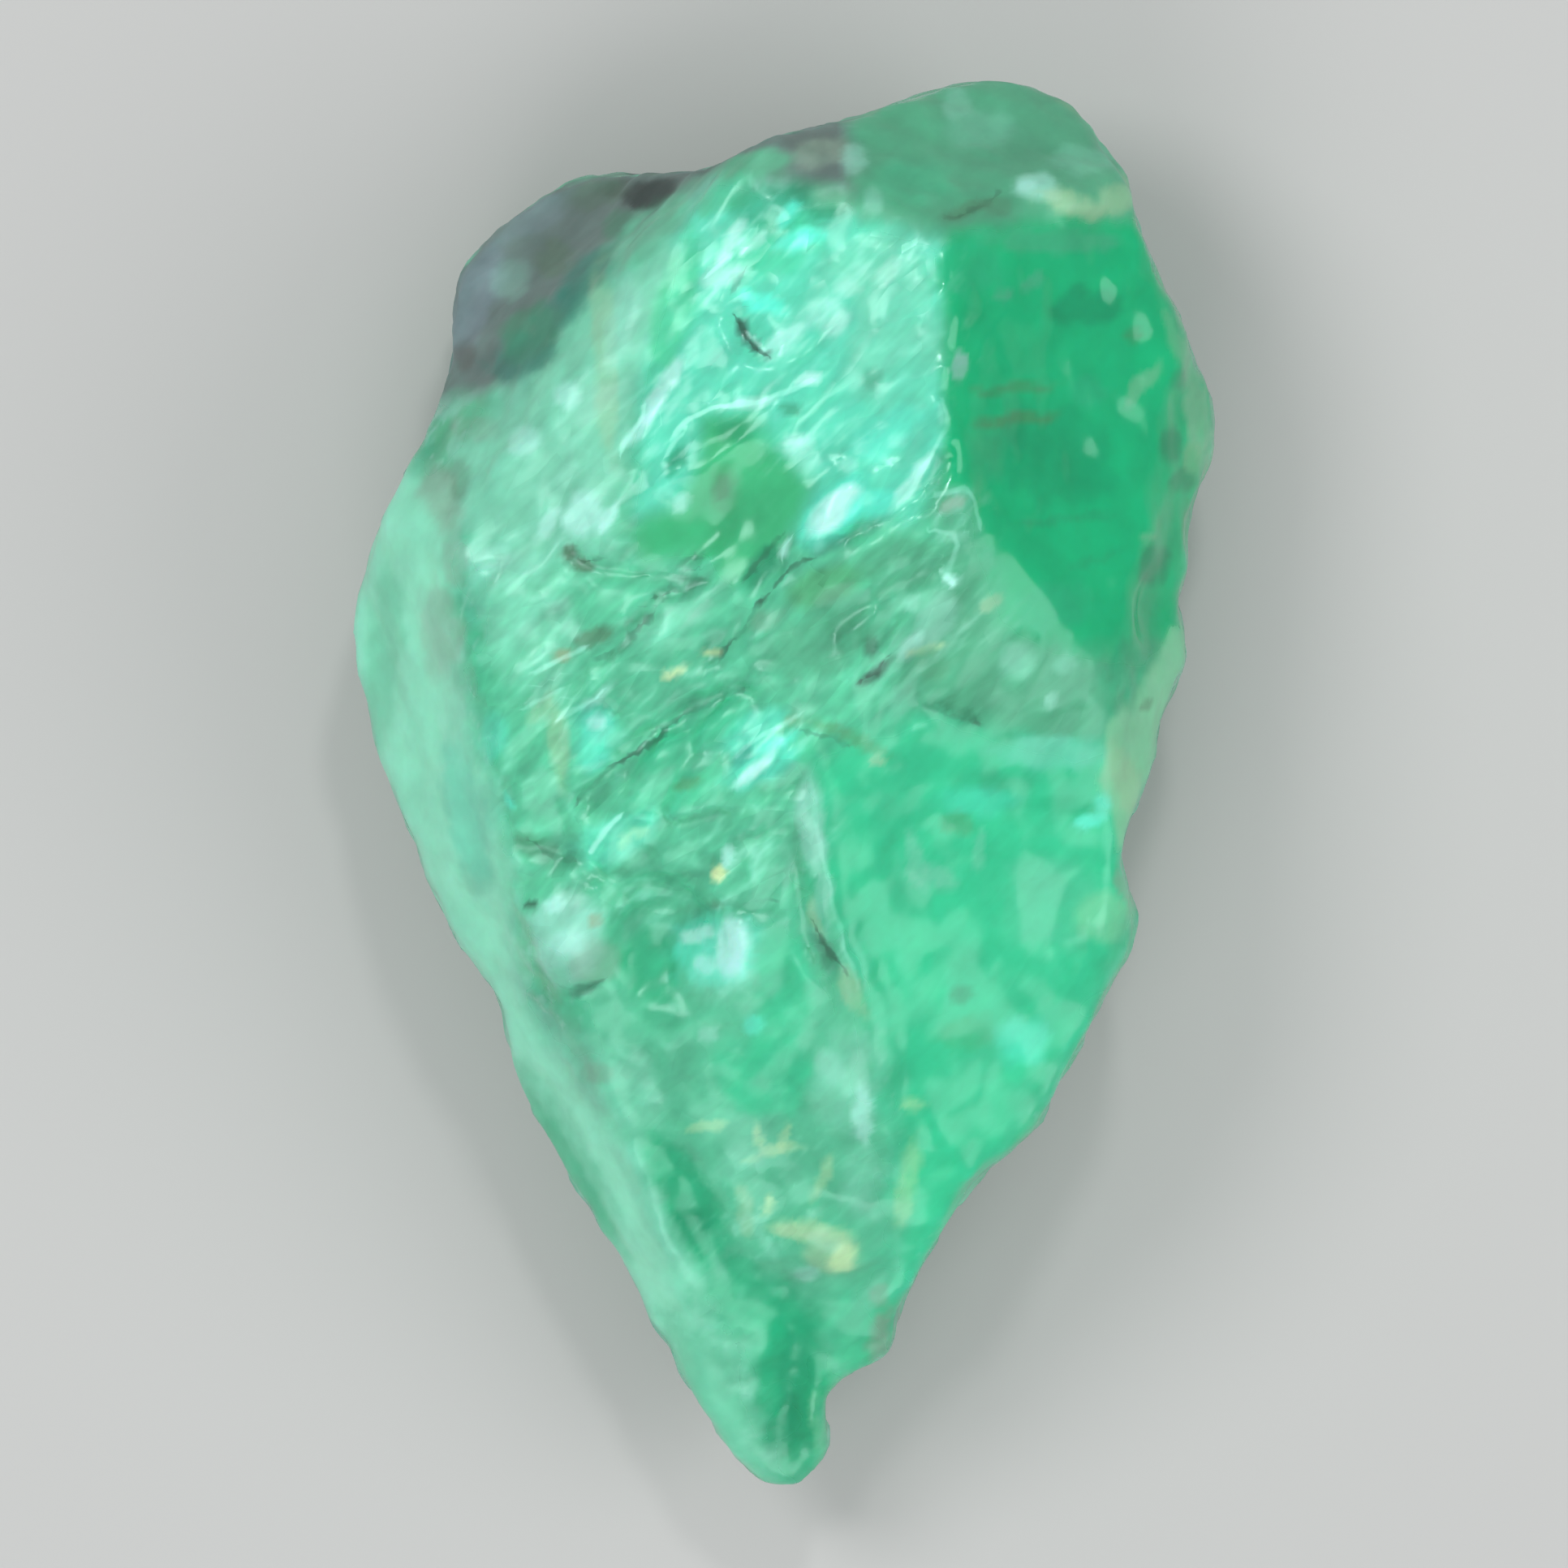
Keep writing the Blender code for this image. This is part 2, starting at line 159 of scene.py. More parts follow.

# Colour patches, among them painted white glints with bluish halos and painted rim glow: colour, strength,
# middle, half length and half width in pixels, turn in degrees
PATCHES = (
    # grey ledge
    ("blue grey", 0.7, (585, 370), 30, 70, -20),
    ("blue grey", 0.4, (660, 265), 50, 20, 30),
    ("brown", 0.4, (685, 318), 26, 24, 30),
    ("frost", 0.2, (632, 345), 26, 20, 50),
    ("teal", 0.65, (722, 350), 50, 26, 52),
    ("teal", 0.55, (688, 388), 34, 22, 40),
    ("teal", 0.65, (645, 440), 44, 30, 30),
    ("moss", 0.5, (655, 410), 40, 30, 40),
    ("mauve", 0.6, (576, 442), 15, 20, 0),
    ("charcoal", 0.85, (805, 240), 34, 18, 12),
    ("charcoal", 0.45, (775, 232), 34, 14, 0),
    ("moss", 0.45, (768, 278), 26, 16, 30),
    ("brown", 0.3, (735, 240), 40, 20, 20),
    ("charcoal", 0.35, (865, 205), 40, 12, 20),
    ("mauve", 0.35, (1000, 180), 40, 22, 15),
    ("pinkish", 0.5, (1012, 192), 34, 20, 20),
    ("matte green", 0.75, (930, 210), 46, 18, 10),
    # upper left face
    ("sea green", 0.45, (800, 290), 60, 26, 40),
    ("milky green", 0.6, (790, 300), 26, 24, 0),
    ("beige", 0.4, (750, 450), 15, 120, 4),
    ("frost", 0.5, (768, 400), 20, 60, -12),
    ("facet green", 0.5, (832, 385), 24, 90, -14),
    ("painted highlight white", 0.45, (700, 490), 18, 17, 0),
    ("painted highlight white", 0.5, (650, 545), 18, 20, 0),
    ("mist", 0.6, (640, 500), 32, 34, 0),
    ("painted highlight white", 0.65, (722, 635), 26, 30, 20),
    ("painted highlight white", 0.6, (752, 645), 8, 24, -30),
    ("painted highlight white", 0.6, (680, 645), 7, 24, -35),
    ("painted highlight white", 0.55, (615, 690), 17, 14, 0),
    ("painted highlight white", 0.35, (625, 700), 50, 26, 0),
    ("painted highlight white", 0.8, (820, 485), 11, 50, -30),
    ("painted highlight white", 0.6, (795, 528), 9, 30, -35),
    ("pinkish", 0.55, (545, 615), 24, 44, 10),
    ("brown", 0.4, (570, 590), 15, 28, 0),
    ("pinkish", 0.45, (566, 690), 20, 30, 0),
    ("pinkish", 0.3, (590, 530), 26, 16, 0),
    ("brown", 0.75, (703, 682), 13, 8, 0),
    ("brown", 0.7, (720, 697), 15, 9, -20),
    # glitter face
    ("sea green", 0.75, (900, 245), 46, 18, 20),
    ("deep green", 0.45, (960, 262), 70, 26, -10),
    ("deep green", 0.5, (1015, 262), 22, 10, -10),
    ("vivid green", 0.5, (950, 310), 60, 40, 20),
    ("painted glint cyan", 0.8, (973, 270), 9, 20, -35),
    ("painted glint cyan", 0.85, (985, 302), 30, 14, 15),
    ("painted highlight white", 0.75, (902, 300), 9, 32, -25),
    ("painted highlight white", 0.55, (930, 300), 7, 24, -40),
    ("painted highlight white", 0.6, (895, 345), 32, 14, 20),
    ("painted glint cyan", 0.9, (938, 375), 32, 13, -20),
    ("painted highlight white", 0.5, (972, 420), 32, 14, 35),
    ("painted highlight white", 0.85, (1093, 335), 23, 12, 48),
    ("painted highlight white", 0.6, (1045, 360), 20, 11, 0),
    ("painted highlight white", 0.4, (1020, 392), 24, 20, 30),
    ("mist", 0.45, (1105, 420), 60, 100, 0),
    ("mist", 0.4, (1060, 330), 60, 30, 30),
    ("crack", 0.75, (914, 406), 12, 8, -45),
    ("crack", 0.85, (929, 424), 13, 10, -45),
    ("crack", 0.6, (949, 440), 6, 5, 0),
    ("moss", 0.5, (975, 506), 14, 8, 0),
    ("moss", 0.4, (1075, 470), 11, 15, 0),
    ("painted highlight white", 0.85, (998, 469), 15, 8, 10),
    ("painted highlight white", 0.55, (930, 498), 30, 7, 10),
    ("painted highlight white", 0.5, (980, 550), 20, 12, 20),
    ("painted highlight white", 0.5, (1045, 576), 12, 9, 0),
    ("painted highlight white", 0.5, (1105, 546), 14, 9, 30),
    ("pale aqua", 0.5, (1120, 500), 40, 60, 0),
    ("painted highlight white", 0.6, (1123, 598), 40, 7, 56),
    ("deep green", 0.6, (835, 570), 20, 12, 60),
    ("deep green", 0.4, (910, 530), 28, 14, 0),
    ("olive", 0.4, (893, 610), 18, 28, 0),
    ("brown", 0.4, (893, 606), 9, 15, 0),
    ("facet green", 0.5, (840, 668), 56, 22, -5),
    ("painted highlight white", 0.5, (838, 620), 9, 14, -40),
    ("painted glint cyan", 0.6, (1030, 632), 52, 28, 50),
    ("painted highlight white", 0.95, (1025, 632), 38, 16, 50),
    ("painted highlight white", 0.8, (1040, 612), 22, 12, 30),
    ("painted glint cyan", 0.6, (1078, 622), 32, 20, 12),
    ("teal", 0.5, (1020, 674), 24, 11, 10),
    ("painted glint cyan", 0.4, (1085, 540), 60, 24, 35),
    # window
    ("vivid green", 0.5, (1190, 335), 44, 34, 0),
    ("deep green", 0.5, (1340, 380), 46, 26, 10),
    ("deep green", 0.3, (1300, 560), 90, 60, -20),
    ("milky green", 0.45, (1236, 365), 15, 8, 0),
    ("milky green", 0.4, (1270, 350), 15, 9, 40),
    ("frost", 0.75, (1183, 456), 10, 17, -10),
    ("frost", 0.8, (1186, 446), 8, 8, 0),
    ("ochre", 0.45, (1250, 482), 48, 8, 4),
    ("ochre", 0.55, (1248, 520), 50, 9, 10),
    ("ochre", 0.4, (1395, 415), 13, 9, 0),
    ("pale green and painted rim glow", 0.6, (1404, 478), 32, 9, 50),
    ("vivid green", 0.45, (1340, 485), 20, 20, 0),
    ("pale green and painted rim glow", 0.8, (1476, 520), 16, 46, 8),
    ("beige", 0.4, (1472, 565), 13, 22, 0),
    ("pale green and painted rim glow", 0.55, (1455, 430), 11, 60, 22),
    ("deep green", 0.4, (1450, 470), 14, 16, 0),
    ("deep green", 0.5, (1442, 548), 14, 24, 0),
    ("moss", 0.5, (1456, 592), 20, 13, 40),
    ("pale green and painted rim glow", 0.5, (1416, 664), 12, 7, 20),
    ("deep green", 0.6, (1422, 698), 20, 26, 0),
    ("olive", 0.3, (1466, 645), 8, 26, 0),
    ("milky green", 0.35, (1290, 300), 90, 14, 0),
    ("vivid green", 0.5, (1290, 745), 50, 30, 0),
    ("moss", 0.2, (1310, 640), 60, 6, 5),
    ("moss", 0.15, (1350, 690), 40, 6, 20),
    ("leaf green", 0.6, (1385, 835), 30, 50, -30),
    # cap
    ("frost", 0.5, (1052, 198), 17, 20, 0),
    ("frost", 0.4, (1076, 256), 13, 20, 0),
    ("frost", 0.3, (1178, 132), 20, 20, 0),
    ("mist", 0.4, (1205, 160), 44, 24, 0),
    ("frost", 0.9, (1272, 240), 26, 18, -20),
    ("painted highlight white", 0.4, (1262, 236), 12, 9, -20),
    ("beige", 0.7, (1318, 258), 44, 15, -8),
    ("beige", 0.6, (1378, 248), 28, 18, 0),
    ("brown", 0.3, (1228, 258), 20, 13, 0),
    ("brown", 0.45, (1190, 262), 34, 10, 25),
    ("mist", 0.4, (1330, 200), 40, 20, 0),
    ("beige", 0.4, (1322, 126), 26, 12, -35),
    ("vivid green", 0.3, (1120, 230), 50, 30, 0),
    # middle
    ("mist", 0.65, (640, 735), 60, 70, 20),
    ("mist", 0.5, (660, 790), 60, 60, 0),
    ("moss", 0.6, (817, 733), 11, 8, 0),
    ("moss", 0.7, (855, 716), 15, 5, 0),
    ("rust", 0.45, (699, 806), 12, 10, 0),
    ("brown", 0.65, (735, 786), 27, 12, 20),
    ("moss", 0.6, (765, 802), 24, 6, 35),
    ("moss", 0.6, (785, 765), 18, 7, 35),
    ("mist", 0.5, (830, 770), 50, 22, 30),
    ("deep green", 0.7, (935, 702), 30, 13, 55),
    ("painted highlight white", 0.6, (966, 675), 16, 6, 60),
    ("olive", 0.7, (1020, 722), 46, 24, 20),
    ("pinkish", 0.35, (945, 765), 26, 14, 30),
    ("matte green", 0.8, (1010, 790), 70, 40, 20),
    ("moss", 0.35, (1060, 760), 50, 40, 20),
    ("crack", 0.7, (1080, 828), 24, 8, 36),
    ("crack", 0.5, (1072, 794), 8, 12, 0),
    ("frost", 0.85, (1122, 800), 22, 10, 48),
    ("lemon", 0.6, (1140, 803), 26, 5, 14),
    ("ochre", 0.5, (1150, 820), 20, 17, 0),
    ("frost", 0.4, (1126, 745), 12, 12, 0),
    ("painted highlight white", 0.7, (1173, 717), 10, 8, -40),
    ("pinkish", 0.6, (1166, 624), 16, 7, 25),
    ("frost", 0.35, (1172, 664), 18, 8, 0),
    ("frost", 0.4, (1150, 770), 40, 20, 60),
    ("beige", 0.5, (1216, 742), 16, 9, 30),
    ("matte green", 0.7, (1110, 700), 60, 36, 0),
    ("matte green", 0.75, (1190, 840), 80, 44, -10),
    ("matte green", 0.6, (1300, 850), 80, 44, -10),
    ("moss", 0.6, (1180, 878), 34, 7, -28),
    ("mist", 0.5, (1252, 815), 20, 24, 0),
    ("mist", 0.5, (1314, 818), 18, 14, 0),
    ("frost", 0.55, (1297, 865), 9, 10, 0),
    ("pale aqua", 0.5, (1290, 925), 66, 22, 0),
    ("lemon", 0.75, (835, 827), 12, 5, 35),
    ("lemon", 0.5, (822, 834), 8, 6, 60),
    ("lemon", 0.6, (880, 803), 12, 4, 0),
    ("painted glint cyan", 0.4, (738, 888), 20, 24, -25),
    ("painted highlight white", 0.95, (738, 888), 11, 14, -45),
    ("painted highlight white", 0.45, (738, 858), 26, 6, 35),
    ("painted glint cyan", 0.35, (735, 925), 20, 26, 0),
    ("painted glint cyan", 0.2, (735, 905), 34, 46, 0),
    ("beige", 0.45, (690, 920), 14, 54, 8),
    ("beige", 0.35, (672, 870), 10, 26, -40),
    ("painted glint cyan", 0.6, (631, 985), 14, 8, -50),
    ("painted glint cyan", 0.3, (610, 905), 20, 30, 0),
    ("painted glint cyan", 0.5, (925, 900), 50, 20, 32),
    ("painted glint cyan", 0.5, (938, 940), 46, 24, 25),
    ("painted highlight white", 0.9, (932, 950), 30, 7, 28),
    ("painted highlight white", 0.6, (957, 922), 20, 6, 40),
    ("teal", 0.5, (915, 930), 18, 9, 35),
    ("painted glint cyan", 0.6, (960, 915), 28, 8, 30),
    ("vivid green", 0.5, (860, 900), 80, 28, 30),
    ("vivid green", 0.45, (830, 975), 60, 20, 25),
    ("ochre", 0.5, (850, 962), 20, 7, 20),
    ("lemon", 0.35, (790, 1022), 12, 10, 0),
    ("lemon", 0.3, (772, 1034), 12, 6, 60),
    ("painted glint cyan", 0.3, (760, 1030), 60, 26, 30),
    ("lemon", 0.9, (886, 1077), 9, 8, 0),
    ("painted highlight white", 0.6, (899, 1056), 7, 16, -20),
    ("brown", 0.35, (880, 1112), 14, 10, 0),
    ("brown", 0.35, (664, 1046), 34, 17, -35),
    ("moss", 0.4, (712, 1060), 15, 16, 0),
    ("moss", 0.4, (765, 1072), 9, 9, 0),
    ("beige", 0.4, (976, 886), 12, 8, 0),
    ("ochre", 0.5, (1045, 908), 54, 9, -20),
    ("beige", 0.5, (1080, 936), 10, 7, 20),
    # lower left
    ("frost", 0.85, (702, 1145), 42, 54, 0),
    ("painted highlight white", 0.35, (705, 1155), 20, 16, 0),
    ("painted highlight white", 0.6, (690, 1110), 14, 10, 0),
    ("rust", 0.35, (735, 1133), 8, 8, 0),
    ("pinkish", 0.4, (740, 1180), 30, 26, 0),
    ("crack", 0.8, (663, 1110), 7, 6, 20),
    ("crack", 0.5, (720, 1215), 20, 8, 20),
    ("leaf green", 0.6, (805, 1190), 36, 50, 0),
    ("deep green", 0.35, (820, 1250), 32, 16, 0),
    ("mist", 0.7, (893, 1180), 40, 50, 0),
    ("painted glint cyan", 0.5, (885, 1165), 56, 46, 0),
    ("painted highlight white", 0.75, (862, 1150), 24, 10, 10),
    ("painted highlight white", 0.85, (906, 1158), 17, 38, 0),
    ("painted highlight white", 0.45, (876, 1186), 15, 12, 0),
    ("vivid green", 0.7, (965, 1210), 36, 80, 0),
    ("vivid green", 0.75, (945, 1320), 62, 50, 0),
    ("painted glint cyan", 0.4, (930, 1260), 14, 12, 0),
    ("frost", 0.5, (875, 1275), 10, 10, 0),
    ("mist", 0.55, (760, 1330), 70, 44, -40),
    ("pinkish", 0.35, (740, 1320), 17, 12, 0),
    ("lemon", 0.25, (870, 1385), 24, 7, 10),
    ("lemon", 0.3, (950, 1418), 40, 6, 12),
    ("lemon", 0.3, (935, 1398), 6, 22, 10),
    ("lemon", 0.25, (968, 1400), 5, 18, -12),
    ("lemon", 0.25, (1015, 1445), 8, 34, -20),
    ("lemon", 0.45, (948, 1482), 9, 14, -10),
    ("beige", 0.4, (918, 1490), 11, 30, 10),
    ("mist", 0.4, (915, 1430), 30, 30, 0),
    ("lemon", 0.25, (1125, 1355), 15, 10, 0),
    ("lemon", 0.22, (1118, 1455), 12, 60, -8),
    ("leaf green", 0.8, (845, 1480), 34, 96, 28),
    ("deep green", 0.5, (852, 1508), 24, 26, 20),
    ("leaf green", 0.5, (918, 1565), 22, 16, -40),
    ("mist", 0.5, (812, 1500), 17, 120, 30),
    ("mist", 0.55, (942, 1520), 9, 34, 30),
    ("lemon", 0.35, (1000, 1512), 46, 11, -5),
    ("beige", 0.6, (1025, 1535), 36, 26, -15),
    ("lemon", 0.5, (1040, 1542), 16, 18, 20),
    ("beige", 0.5, (982, 1512), 20, 10, 0),
    ("frost", 0.65, (995, 1562), 17, 12, 20),
    ("leaf green", 0.6, (950, 1608), 90, 34, -5),
    ("mist", 0.35, (895, 1680), 44, 60, 25),
    ("pinkish", 0.7, (1086, 1640), 12, 34, -12),
    ("pinkish", 0.4, (1084, 1590), 12, 12, 0),
    ("leaf green", 0.85, (975, 1700), 44, 115, 5),
    ("deep green", 0.45, (985, 1715), 24, 70, 4),
    ("pale green and painted rim glow", 0.35, (1008, 1770), 8, 60, 2),
    ("vivid green", 0.5, (1050, 1640), 30, 50, -10),
    # vein and lower right
    ("frost", 0.7, (1000, 1010), 18, 56, 2),
    ("frost", 0.45, (1012, 1100), 12, 34, 0),
    ("crack", 0.4, (1018, 1172), 8, 28, 28),
    ("beige", 0.45, (1008, 1130), 7, 30, 20),
    ("beige", 0.55, (1052, 1220), 13, 28, 28),
    ("mist", 0.7, (1042, 1325), 38, 60, -6),
    ("painted highlight white", 0.55, (1064, 1366), 14, 38, 0),
    ("frost", 0.4, (1024, 1308), 18, 22, 0),
    ("mist", 0.4, (1060, 1450), 24, 50, 0),
    ("mist", 0.55, (1130, 1062), 12, 36, 10),
    ("mist", 0.5, (1158, 1082), 24, 13, 0),
    ("ochre", 0.35, (1180, 1016), 17, 16, 0),
    ("mist", 0.35, (1205, 1045), 8, 26, 0),
    ("painted glint cyan", 0.3, (1200, 985), 50, 20, 0),
    ("vivid green", 0.6, (1160, 1190), 100, 60, 30),
    ("mist", 0.2, (1290, 1110), 70, 56, 0),
    ("pale green and painted rim glow", 0.6, (1360, 1128), 34, 30, 0),
    ("pinkish", 0.5, (1386, 1095), 8, 26, 28),
    ("painted glint cyan", 0.7, (1340, 1010), 20, 9, 15),
    ("painted glint cyan", 0.5, (1357, 988), 11, 12, 0),
    ("leaf green", 0.4, (1295, 990), 50, 10, 0),
    ("painted glint cyan", 0.4, (1260, 1280), 34, 30, 0),
    ("moss", 0.45, (1185, 1222), 17, 10, 0),
    ("moss", 0.3, (1222, 960), 24, 16, 0),
    ("ochre", 0.25, (1190, 1270), 40, 24, 0),
    ("brown", 0.45, (1410, 868), 9, 7, 0),
    ("beige", 0.5, (1385, 960), 20, 50, 20),
    # left bevel
    ("sea green", 0.45, (476, 800), 24, 110, -6),
    ("pinkish", 0.4, (545, 780), 26, 60, 0),
    ("moss", 0.25, (590, 1075), 24, 24, 0),
    ("pale aqua", 0.5, (575, 1000), 24, 100, 12),
    ("sea green", 0.7, (690, 1420), 34, 140, 30),
    ("leaf green", 0.45, (712, 1450), 12, 120, 31),
    ("mist", 0.3, (770, 1400), 26, 60, 30),
    ("sea green", 0.6, (870, 1720), 50, 120, 28),
    ("sea green", 0.4, (985, 1815), 50, 24, 0),
)

# Dark open cracks: strength, line
CRACK_LINES = (
    (0.8, ((700, 680), (725, 695), (745, 690))),
    (0.6, ((805, 735), (830, 725), (870, 715))),
    (1.0, ((885, 818), (900, 790), (925, 758), (940, 742))),
    (0.7, ((945, 735), (975, 700), (1000, 690))),
    (0.9, ((1062, 840), (1080, 828), (1095, 808))),
    (0.7, ((1142, 868), (1165, 880), (1205, 892))),
    (0.8, ((715, 988), (775, 932), (830, 890), (880, 862), (920, 846))),
    (0.6, ((735, 812), (770, 795), (800, 758))),
    (0.4, ((655, 1036), (680, 1058), (712, 1062))),
    (0.8, ((905, 395), (928, 422), (948, 442))),
    (0.7, ((1006, 1130), (1018, 1170), (1042, 1198))),
    (0.4, ((1165, 275), (1200, 262), (1230, 240))),
    (0.5, ((962, 660), (940, 690), (920, 712))),
    (0.4, ((860, 1122), (890, 1108), (955, 1108))),
    (0.4, ((990, 900), (1015, 908), (1045, 920))),
    (0.4, ((905, 360), (925, 335))),
    (0.4, ((700, 1210), (720, 1218), (745, 1200))),
    (0.4, ((840, 700), (850, 690), (860, 688))),
)

# Painted highlights along glassy edges that catch the light, which also rise a little: strength, line
PAINTED_HIGHLIGHT_LINES = (
    (0.65, ((832, 540), (850, 520), (885, 506), (925, 498), (965, 487), (1000, 470))),
    (0.35, ((822, 565), (830, 552), (842, 540))),
    (0.28, ((1150, 615), (1178, 604), (1196, 622), (1203, 655))),
    (0.25, ((1150, 655), (1178, 662), (1182, 680), (1168, 705))),
    (0.6, ((1164, 705), (1174, 722))),
    (0.6, ((730, 1045), (745, 1022), (772, 1000))),
    (0.25, ((1150, 560), (1163, 530), (1160, 500))),
    (0.5, ((872, 345), (905, 318), (930, 285))),
    (0.5, ((960, 690), (965, 672), (975, 662))),
    (0.4, ((905, 930), (945, 905), (985, 880))),
    (0.4, ((650, 870), (672, 858), (700, 850))),
    (0.4, ((690, 890), (720, 870), (745, 850))),
    (0.15, ((1000, 960), (1008, 1020), (1020, 1090), (1045, 1180), (1060, 1215))),
    (0.4, ((660, 830), (690, 812), (725, 800))),
    (0.35, ((1108, 628), (1125, 600), (1150, 560))),
    (0.4, ((770, 560), (785, 535), (800, 505))),
)

# Where glints are painted on and the surface leans most: strength, middle, half length, half width in pixels,
# turn in degrees
GLITTER = (
    (0.9, (915, 320), 80, 50, 50),
    (0.9, (965, 405), 80, 46, 25),
    (0.6, (1090, 340), 60, 40, 40),
    (0.3, (1040, 440), 170, 130, 40),
    (0.5, (1000, 545), 60, 40, 30),
    (0.6, (840, 500), 60, 100, -25),
    (0.25, (700, 600), 110, 90, 30),
    (0.45, (750, 880), 150, 100, 30),
    (0.6, (930, 920), 70, 50, 30),
    (0.45, (870, 1060), 140, 70, 20),
    (0.3, (890, 1170), 40, 60, 0),
    (0.3, (960, 1480), 110, 80, 30),
    (0.3, (1150, 790), 110, 60, 20),
    (0.4, (1170, 650), 50, 60, 0),
)

# Raised and sunk forms of the front: height in mm, middle, half length, half width in pixels, turn
FORMS = (
    (0.16, (1165, 640), 50, 22, 60),
    (-0.14, (1160, 680), 40, 24, 60),
    (0.10, (1028, 630), 50, 26, 50),
    (-0.16, (929, 420), 34, 20, -45),
    (0.10, (820, 485), 18, 60, -30),
    (-0.10, (895, 610), 80, 70, 30),
    (0.14, (712, 1140), 60, 70, 20),
    (0.08, (892, 1165), 50, 60, 0),
    (0.10, (1050, 1345), 40, 90, -10),
    (0.10, (1020, 1530), 60, 40, 10),
    (-0.06, (850, 1490), 34, 90, 28),
    (0.08, (736, 886), 24, 20, 30),
    (0.08, (935, 943), 46, 24, 30),
    (-0.10, (1160, 1045), 70, 50, 40),
    (0.08, (1320, 238), 90, 34, -8),
)

# Where the solid's own creases are evened out: middle, half length, half width in pixels, turn
SOFTENED = (
    ((1275, 905), 110, 34, -6),
    ((1190, 895), 40, 24, -20),
    ((1280, 730), 110, 50, -48),
    ((1012, 1050), 30, 120, 8),
    ((1060, 1250), 34, 90, 14),
)
SOFTENED_PASSES = 60

# Chips are small flat facets, longer along the run of the fracture than across it
CHIP_SPACING = 0.52
CHIP_STRETCH = 1.9
CHIP_TURN = 38.0
CHIP_SEED = 5

# How the lean and the level of a chip make its height, as shares of the chip height of its place
CHIP_LEAN = 0.9
CHIP_LEVEL = 0.6

# The chip height in mm that counts as fully chipped in the material
FULL_CHIP = 0.12

# Relief in mm: ridges along the sides, general unevenness, depth of the cracks, rise of the edges with
# painted highlights
SIDE_RIDGES = 0.05
UNEVENNESS = 0.025
CRACK_DEPTH = 0.06
HIGHLIGHT_EDGE_RISE = 0.04
HEIGHT_PASSES = 2

# The streaks of the fractures: their run in degrees, and their length, width and depth in metres
STREAK_TURN = 44.0
STREAK_SIZE = (0.0011, 0.00035, 0.0006)

# The sides and back before any region: clearness, roughness and its change, chip height in mm, glitter
# (painted glints and leaning facets)
SIDE_CLEAR = 0.32
SIDE_ROUGH = 0.26
SIDE_ROUGH_CHANGE = 0.12
SIDE_CHIP = 0.065
SIDE_GLITTER = 0.4

# Colours of the sides and back, a painted rim glow among them: colour, strength, noise scale in 1/mm, shift,
# and where the noise starts
SIDE_TINTS = (
    ("vivid green", 0.6, 0.45, 41.0, -0.10),
    ("pale aqua", 0.5, 0.7, 47.0, 0.0),
    ("pale green and painted rim glow", 0.4, 0.6, 59.0, 0.05),
    ("leaf green", 0.45, 0.9, 71.0, 0.10),
    ("frost", 0.6, 1.1, 53.0, 0.12),
    ("brown", 0.15, 0.9, 67.0, 0.3),
)

# Colours of the host rock on the shoulder, in the same order
ROCK_TINTS = (
    ("blue grey", 0.5, 1.0, 43.0, 0.0),
    ("brown", 0.45, 1.3, 49.0, 0.15),
    ("charcoal", 0.6, 2.0, 61.0, 0.25),
    ("teal", 0.5, 1.1, 69.0, 0.2),
)

# How high above the floor the host rock ends on the side, and how much that varies, in mm
ROCK_LEVEL = 3.0
ROCK_LEVEL_CHANGE = 3.0

# How far a line's value reaches round it, and past its ends, in mm
LINE_REACH = 0.45
LINE_END = 0.06

# How far the edges of regions and patches wander, in mm, everywhere and on steep faces besides
WANDER = 0.09
STEEP_WANDER = 0.9

# An oval fades out over OVAL_FADE half lengths, and ends OVAL_END half lengths from its middle
OVAL_END = 1.55
OVAL_FADE = 1.1

# The noise that tears the patches' edges: scale in 1/mm, and shift
RAGGED_EDGES = ((1.6, 60.0), (2.4, 75.0), (3.2, 90.0), (1.9, 105.0))
RAGGED_STRENGTH = 0.34
RAGGED_REACH = 1.5

# The crystal: refraction, and the share, colours and reach in metres of light scattered below its surface
IOR = 1.58
SCATTER_SHARE = 0.6
SCATTER_COLOURS = (0.35, 1.0, 0.75)
SCATTER_REACH = 0.0012
GLOSS_TINT = (0.70, 1.0, 0.94, 1.0)
ABSORPTION_COLOUR = (0.25, 0.85, 0.60, 1.0)
ABSORPTION_DENSITY = 300.0

# The grain and the clouds of the material, as noise scales in 1/m
GRAIN_SCALE = 5200.0
CLOUD_SCALE = 900.0

# Lights: name, place and size in metres, power in watts
LIGHTS = (
    ("key", (-0.08, 0.05, 0.14), 0.07, 0.080),
    ("fill", (0.13, -0.02, 0.11), 0.12, 0.082),
    ("low", (-0.04, -0.12, 0.13), 0.12, 0.088),
    ("glint", (0.02, 0.10, 0.16), 0.02, 0.05),
)
SKY_COLOUR = (0.95, 0.98, 1.0, 1.0)
SKY_STRENGTH = 0.55
FLOOR_COLOUR = (0.50, 0.50, 0.49, 1.0)
FLOOR_ROUGHNESS = 0.8
FLOOR_REACH = 3.0

# The camera, in millimetres: a long lens keeps raised parts where the photograph shows them
FOCAL_LENGTH = 600.0
SENSOR = 36.0

# The height above the floor in metres at which the picture is as wide as the photograph
OUTLINE_LEVEL = 0.004


def linear(colour):
    """An sRGB colour from 0 to 255 as linear light."""
    share = np.asarray(colour, float) / 255.0
    return np.where(share <= 0.04045, share / 12.92, ((share + 0.055) / 1.055) ** 2.4)


def ease(value):
    """Goes smoothly from 0 to 1, and stays there on either side."""
    value = np.clip(value, 0.0, 1.0)
    return value * value * (3.0 - 2.0 * value)


